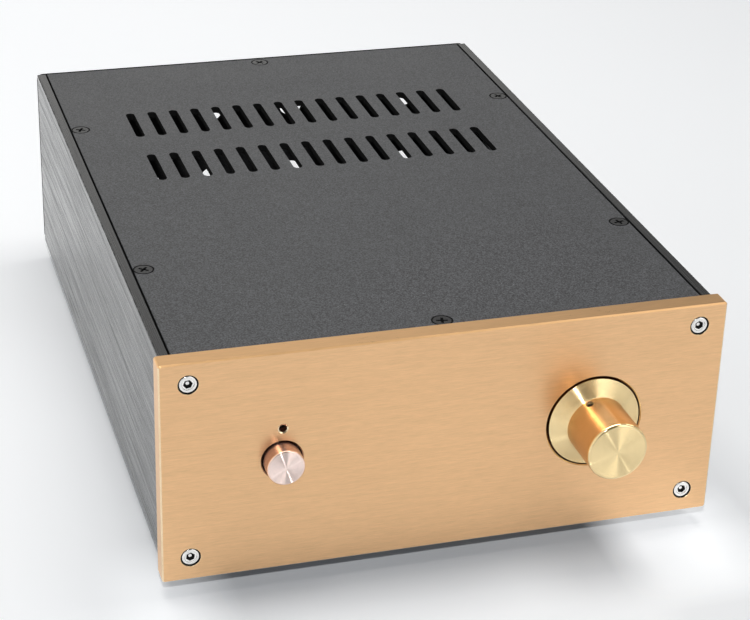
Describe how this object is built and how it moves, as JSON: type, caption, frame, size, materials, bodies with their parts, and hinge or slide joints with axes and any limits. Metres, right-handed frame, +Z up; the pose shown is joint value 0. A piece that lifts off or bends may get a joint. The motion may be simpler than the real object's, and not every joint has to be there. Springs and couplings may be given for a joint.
{
  "type": "amplifier chassis",
  "caption": "Aluminium amplifier case with a thick front panel, volume knob, power button, vented cover, extruded sides, round feet and a drilled rear panel.",
  "frame": {"origin": "on the plane that the feet stand on, under the middle of the overall box, whose front is the volume knob's face", "axes": "+Y runs back from the front panel, +X to the right as seen from the front, +Z up"},
  "size_m": [0.2216, 0.3342, 0.0992],
  "materials": {
    "champagne_anodised": "brushed champagne anodised",
    "black_brushed": "brushed black anodised",
    "black_blasted": "sand-blasted black anodised",
    "gold_turned": "turned and pale gold anodised",
    "rose_turned": "turned and rose anodised",
    "foot_aluminium": "turned and clear anodised",
    "mill_aluminium": "mill",
    "nickel_plate": "nickel plated",
    "black_steel": "black oxide",
    "zinc_steel": "zinc plated",
    "black_rubber": "matte",
    "black_plastic": "moulded",
    "clear_lens": "clear, unlit"
  },
  "bodies": {
    "chassis": {"front_panel": "champagne_anodised", "front_panel_screw_1": "nickel_plate", "front_panel_screw_2": "nickel_plate", "front_panel_screw_3": "nickel_plate", "front_panel_screw_4": "nickel_plate", "side_panel_left": "black_brushed", "side_panel_right": "black_brushed", "top_cover": "black_blasted", "cover_screw_1": "black_steel", "cover_screw_2": "black_steel", "cover_screw_3": "black_steel", "cover_screw_4": "black_steel", "cover_screw_5": "black_steel", "cover_screw_6": "black_steel", "bottom_plate": "black_blasted", "bottom_screw_1": "black_steel", "bottom_screw_2": "black_steel", "bottom_screw_3": "black_steel", "bottom_screw_4": "black_steel", "bottom_screw_5": "black_steel", "bottom_screw_6": "black_steel", "rear_panel": "black_blasted", "rear_panel_screw_1": "black_steel", "rear_panel_screw_2": "black_steel", "rear_panel_screw_3": "black_steel", "rear_panel_screw_4": "black_steel", "bracket_front_bottom": "mill_aluminium", "bracket_front_top": "mill_aluminium", "bracket_rear_bottom": "mill_aluminium", "bracket_rear_top": "mill_aluminium", "bracket_screw_front_bottom": "zinc_steel", "bracket_screw_front_top": "zinc_steel", "bracket_screw_rear_bottom": "black_steel", "bracket_screw_rear_top": "black_steel", "foot_1": "foot_aluminium", "foot_2": "foot_aluminium", "foot_3": "foot_aluminium", "foot_4": "foot_aluminium", "foot_pad_1": "black_rubber", "foot_pad_2": "black_rubber", "foot_pad_3": "black_rubber", "foot_pad_4": "black_rubber", "foot_screw_1": "zinc_steel", "foot_screw_2": "zinc_steel", "foot_screw_3": "zinc_steel", "foot_screw_4": "zinc_steel", "potentiometer": "zinc_steel", "potentiometer_washer": "nickel_plate", "potentiometer_nut": "nickel_plate", "power_switch": "black_plastic", "switch_bracket": "zinc_steel", "switch_bracket_screw_1": "zinc_steel", "switch_bracket_screw_2": "zinc_steel", "led": "clear_lens", "led_holder": "black_plastic"},
    "knob": {"volume_knob": "gold_turned", "knob_grub_screw": "black_steel", "potentiometer_shaft": "nickel_plate"},
    "button": {"power_button": "rose_turned", "switch_plunger": "black_plastic"}
  },
  "joints": [
    {"name": "knob_turn", "type": "hinge", "parent": "chassis", "child": "knob", "pos_m": [0.0591, -0.1426, 0.05385], "axis": [0, 1, 0], "range_deg": [-150, 150]},
    {"name": "power_button_push", "type": "slide", "parent": "chassis", "child": "button", "axis": [0, 1, 0], "range_m": [0, 0.003], "stiffness_N_per_m": 300, "springref_m": -0.002}
  ]
}
